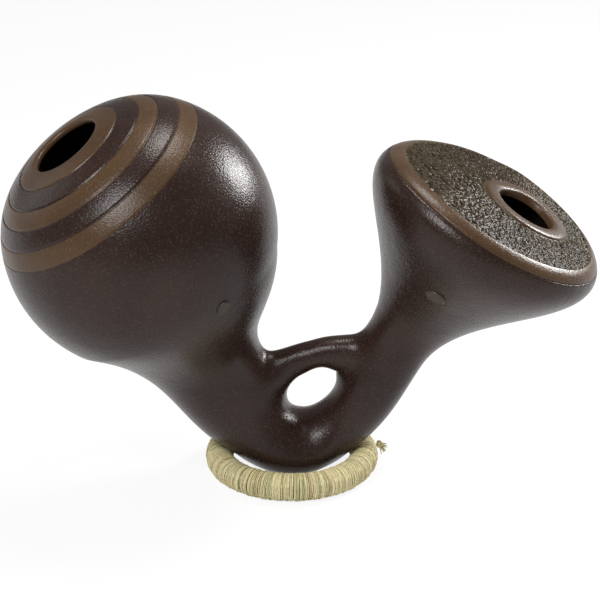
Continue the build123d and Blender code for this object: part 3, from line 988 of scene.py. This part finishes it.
apply_modifier(
    treble_face, "DISPLACE", texture=pebble, texture_coords="LOCAL", strength=-pebble_depth, mid_level=0.15,
    vertex_group="pressed",
)
sunk = np.array([dome_height(v.co.x, v.co.y) - v.co.z for v in treble_face.data.vertices])
# The relief drives the painted shade in the gaps of the face's colour.
relief = treble_face.data.attributes.new("relief", "FLOAT", "POINT")
sunk_low, sunk_high = np.percentile(sunk, (5, 95))
relief.data.foreach_set("value", 1 - np.clip((sunk - sunk_low) / (sunk_high - sunk_low), 0, 1))
print("pebbles: relief of", round((sunk_high - sunk_low) / mm, 2), "mm")
apply_modifier(treble_face, "SOLIDIFY", thickness=wall, offset=-1.0)
set_on_bell(treble_face)
shade(treble_face, 60)
hand_over(treble_face, "drum", ["treble_face"], face_clay)

# %% Collar
collar_outline = [(hole_radius, -wall), (collar_radius, -wall), (collar_radius, 0.0)]
collar_outline += [
    (collar_radius - 0.5 * mm, 0.6 * collar_rise), (collar_radius - 1.6 * mm, collar_rise),
    (collar_radius - 5 * mm, collar_rise * 1.1), (hole_radius + 6 * mm, collar_rise),
    (hole_radius + 2.5 * mm, 0.75 * collar_rise), (hole_radius + 0.8 * mm, 0.3 * collar_rise),
    (hole_radius, -0.5 * collar_rise),
]
collar = turned_piece("treble_mouth_collar_ring", collar_outline, 128)
for vert in collar.data.vertices:
    vert.co.x += hole_offset
    vert.co.z += dome_height(vert.co.x, vert.co.y)
set_on_bell(collar)
hand_over(collar, "drum", ["treble_mouth_collar"], brown_clay)

# %% [markdown]
# ## Two pressed buttons
# Each chamber carries a small oval button of clay, pressed on with the thumb. They are turned like a coin
# with a soft bead at the edge, and laid on the pot where the CAD has them, square to the clay below.

# %% Buttons
pot_skin = BVHTree.FromObject(clay_body, bpy.context.evaluated_depsgraph_get())


def pressed_button(name, node, radius, oval, turn):
    """Bare clay button on the pot's skin at the place of its CAD node."""
    low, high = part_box(node)
    spot, normal, _, _ = pot_skin.find_nearest((low + high) / 2)
    outline = [(0, -1.5 * mm), (radius, -1.5 * mm), (radius, 0.5 * mm), (0.97 * radius, 1.2 * mm)]
    outline += [(0.90 * radius, 1.7 * mm), (0.80 * radius, 1.85 * mm), (0.70 * radius, 1.6 * mm)]
    outline += [(0.55 * radius, 1.5 * mm), (0.28 * radius, 1.6 * mm), (0, 1.65 * mm)]
    button = turned_piece(name, outline, 48, closed=False)
    lay = Matrix.Rotation(radians(turn), 4, "Z") @ Matrix.Diagonal((1, oval, 1, 1))
    apply_place(button, axis_place(spot, normal) @ lay)
    hand_over(button, "drum", [node], button_clay)


pressed_button("bass_button", "bass_seal", 7.2 * mm, 0.86, 0.0)
pressed_button("treble_button", "treble_seal", 9.4 * mm, 0.76, 35.0)

# %% [markdown]
# ## Raffia, straw and cord
# The ring is dry grass: every strand has its own tone, from pale straw over tan to olive, and it is made of
# fine fibres. The tone is stored on the mesh, one number for each turn of a strand, and the material
# reads it. A fine noise gives the fibres.


# %% Plant fibre finish
def make_fibre(name, tones, rough):
    """Dry plant fibre whose colour comes from the tone of each strand."""
    material, tree, skin = new_material(name)
    tone = add_node(tree, "Attribute", {}, attribute_name="tone")
    ramp = add_node(tree, "ValToRGB", {"Fac": tone.outputs["Fac"]})
    ramp.color_ramp.elements[0].color = (*tones[0], 1)
    ramp.color_ramp.elements[1].color = (*tones[-1], 1)
    for place, colour in enumerate(tones[1:-1]):
        ramp.color_ramp.elements.new((place + 1) / (len(tones) - 1)).color = (*colour, 1)
    place = add_node(tree, "TexCoord", {}).outputs["Object"]
    fibres = add_noise(tree, 900.0, 4.0, place)
    dark_share = add_range(tree, fibres, 0.40, 0.7, 0.0, 0.6)
    dull = add_node(tree, "HueSaturation", {"Value": 0.55, "Color": ramp.outputs["Color"]})
    colour = add_mix(tree, dark_share, ramp.outputs["Color"], dull.outputs["Color"])
    tree.links.new(colour, skin.inputs["Base Color"])
    tree.links.new(add_range(tree, fibres, 0.3, 0.7, rough, rough + 0.2), skin.inputs["Roughness"])
    add_bump(tree, fibres, 0.4, 0.3 * mm, skin)
    return material


straw_pale, straw_warm = (0.70, 0.64, 0.38), (0.58, 0.50, 0.26)
tan_red, olive = (0.51, 0.35, 0.20), (0.38, 0.39, 0.17)
raffia = make_fibre("raffia_strands", [olive, straw_warm, straw_pale, straw_pale, straw_warm, tan_red], 0.55)
straw = make_fibre("straw_rope", [straw_warm, tan_red, straw_warm], 0.7)
twine = make_fibre("twine", [straw_warm, straw_pale, straw_pale, straw_warm], 0.65)


# %% Strand tool
def make_strands(name, strands, thickness, cyclic=False):
    """Round strands along lines of points, as one mesh; each point is place, share of thickness, tone."""
    curve = bpy.data.curves.new(name, "CURVE")
    curve.dimensions = "3D"
    curve.bevel_depth = thickness / 2
    curve.bevel_resolution = 1
    curve.use_fill_caps = True
    for points in strands:
        line = curve.splines.new("POLY")
        line.points.add(len(points) - 1)
        line.use_cyclic_u = cyclic
        for knot, (place, share, _) in zip(line.points, points):
            knot.co = (*place, 1)
            knot.radius = share
    piece = bpy.data.objects.new(name, curve)
    bpy.context.scene.collection.objects.link(piece)
    take(piece)
    bpy.ops.object.convert(target="MESH")
    piece = bpy.context.object
    tones = [tone for points in strands for _, _, tone in points]
    sides = len(piece.data.vertices) // len(tones)
    attribute = piece.data.attributes.new("tone", "FLOAT", "POINT")
    for number in range(len(piece.data.vertices)):
        attribute.data[number].value = tones[min(number // sides, len(tones) - 1)]
    take(piece)
    bpy.ops.object.shade_smooth()
    return piece


# %% [markdown]
# ## The ring
# Under the winding lies a rope of straw bent into a ring. Raffia is wound round it in four lengths, some
# ninety turns each, and a thicker twine closes the last gap on the right, a little to the back, and ends in
# a knot. A hand-wound turn is never quite like its neighbour, so spacing, thickness and height wander.

# %% Straw rope
fibre_luck = random.Random(8)
ring_radius, ring_height = 66.5 * mm, 12.5 * mm
tie_start, tie_sector, wrap_count = 10.0, 16.0, 4
wrap_sector = (360.0 - tie_sector) / wrap_count


def ring_place(round_angle, tube_angle, tube):
    """Point at a distance from the middle line of the ring."""
    away = ring_radius + tube * cos(tube_angle)
    flat = Vector((away * cos(round_angle), away * sin(round_angle), 0))
    return ring_middle.xy.to_3d() + flat + Vector((0, 0, ring_height + tube * sin(tube_angle)))


rope_count, rope_steps, rope_twists = 5, 150, 9
rope_offset, rope_thickness = 5.2 * mm, 8.6 * mm
rope_strands = []
for number in range(rope_count):
    line = []
    for step in range(rope_steps):
        turn = 2 * pi * step / rope_steps
        tube_angle = 2 * pi * number / rope_count + rope_twists * turn
        line.append((ring_place(turn, tube_angle, rope_offset), 1.0, number / (rope_count - 1)))
    rope_strands.append(line)
straw_rope = make_strands("straw_rope_core", rope_strands, rope_thickness, cyclic=True)
hand_over(straw_rope, "ring", ["ring_core"], straw)

# %% Raffia winding
raffia_thickness = 1.2 * mm
turns_per_wrap, points_per_turn = 92, 16
wound_tube, loose_tube, loose_count = 12.2 * mm, 12.75 * mm, 22
wound_floor, loose_floor = 0.62 * raffia_thickness, 0.55 * raffia_thickness


def wound_raffia(number):
    """One length of raffia round a quarter of the ring, with a few loose strands over it."""
    start = radians(tie_start + tie_sector + wrap_sector * number)
    sector = radians(wrap_sector)
    pitch = sector / turns_per_wrap
    drift = [fibre_luck.uniform(-0.4, 0.4) * pitch for _ in range(turns_per_wrap + 2)]
    lift = [fibre_luck.uniform(-0.35, 0.1) * mm for _ in range(turns_per_wrap + 2)]
    tone = [fibre_luck.random() for _ in range(turns_per_wrap + 2)]
    line = []
    for step in range(turns_per_wrap * points_per_turn + 1):
        turn, part = divmod(step / points_per_turn, 1.0)
        turn = int(turn)
        wander = drift[turn] * (1 - part) + drift[turn + 1] * part
        tube = wound_tube + lift[turn] * (1 - part) + lift[turn + 1] * part
        round_angle = start + sector * step / (turns_per_wrap * points_per_turn) + wander
        place = ring_place(round_angle, 2 * pi * (turn + part), tube)
        place.z = max(place.z, wound_floor)
        share = 1.0 + 0.18 * sin(1.7 * turn + 0.9 * part) * fibre_luck.uniform(0.6, 1.0)
        line.append((place, share, tone[turn]))
    strands = [line]
    for _ in range(loose_count):
        first = fibre_luck.uniform(0.04, 0.96)
        slant = fibre_luck.uniform(-4.0, 4.0) * pitch
        tone_here, begin = fibre_luck.random(), fibre_luck.uniform(0.45, 0.6)
        loose = []
        for step in range(points_per_turn):
            part = step / (points_per_turn - 1)
            tuck = 1.1 * mm * (2 * part - 1) ** 6
            round_angle = start + sector * first + slant * part
            place = ring_place(round_angle, 2 * pi * (begin - part), loose_tube - tuck)
            place.z = max(place.z, loose_floor)
            loose.append((place, 0.75, tone_here))
        strands.append(loose)
    return make_strands(f"raffia_winding_{number + 1}", strands, raffia_thickness)


for number in range(wrap_count):
    hand_over(wound_raffia(number), "ring", [f"raffia_wrap_{number + 1}"], raffia)

# %% Twine and knot
tie_turns, ply_radius, twine_steps = 4, 0.62 * mm, 48
twists_per_turn, twine_tube, twine_floor, twine_thickness = 11, 11.75 * mm, 0.7 * mm, 1.6 * mm
plies = []
for ply in range(2):
    line = []
    for step in range(tie_turns * twine_steps + 1):
        turn = step / twine_steps
        round_angle = radians(tie_start + tie_sector * turn / tie_turns)
        twist = pi * ply + 2 * pi * turn * twists_per_turn
        tube = twine_tube + ply_radius * cos(twist)
        place = ring_place(round_angle + ply_radius * sin(twist) / ring_radius, 2 * pi * turn, tube)
        place.z = max(place.z, twine_floor)
        line.append((place, 1.0, 0.3 + 0.4 * ply))
    plies.append(line)
tie_twine = make_strands("tie_twine", plies, twine_thickness)
hand_over(tie_twine, "ring", ["tie_cord"], twine)

knot_low, knot_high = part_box("tie_knot")
knot_middle = (knot_low + knot_high) / 2
knot_out = Vector((knot_middle.x - ring_middle.x, knot_middle.y - ring_middle.y, 0)).normalized()
knot_turn = axis_place(knot_middle, knot_out)
loop_steps, tail_count, hair_count, knot_thickness = 72, 4, 26, 2.2 * mm
loop = []
for step in range(loop_steps):
    t = 2 * pi * step / loop_steps
    place = Vector((sin(t) + 2 * sin(2 * t), cos(t) - 2 * cos(2 * t), -1.3 * sin(3 * t))) * mm
    loop.append((knot_turn @ place, 1.0, 0.5))
fringe = []
for tail in range(tail_count):
    ring_end = knot_middle - knot_out * 8 * mm + Vector((0, 0, 2 * mm - tail * 1.6 * mm))
    way = [ring_end.lerp(knot_middle, k / 4) for k in range(5)]
    fringe.append([(place, 0.75, 0.2 + 0.2 * tail) for place in way])
for _ in range(hair_count):
    aim = Vector((fibre_luck.uniform(0.2, 1.0), fibre_luck.uniform(-0.7, 0.1), fibre_luck.uniform(-0.9, 0.3)))
    length = fibre_luck.uniform(5.0, 9.0) * mm
    end = aim.normalized() * length
    sag = Vector((0, 0, -0.12 * length))
    tone_here = fibre_luck.random()
    hair = [knot_middle + end * (k / 6) + sag * (k / 6) ** 2 for k in range(7)]
    fringe.append([(place, 0.75 - 0.07 * k, tone_here) for k, place in enumerate(hair)])
knot = make_strands("tie_knot_fringe", [loop + loop[:1]] + fringe, knot_thickness)
hand_over(knot, "ring", ["tie_knot"], twine)
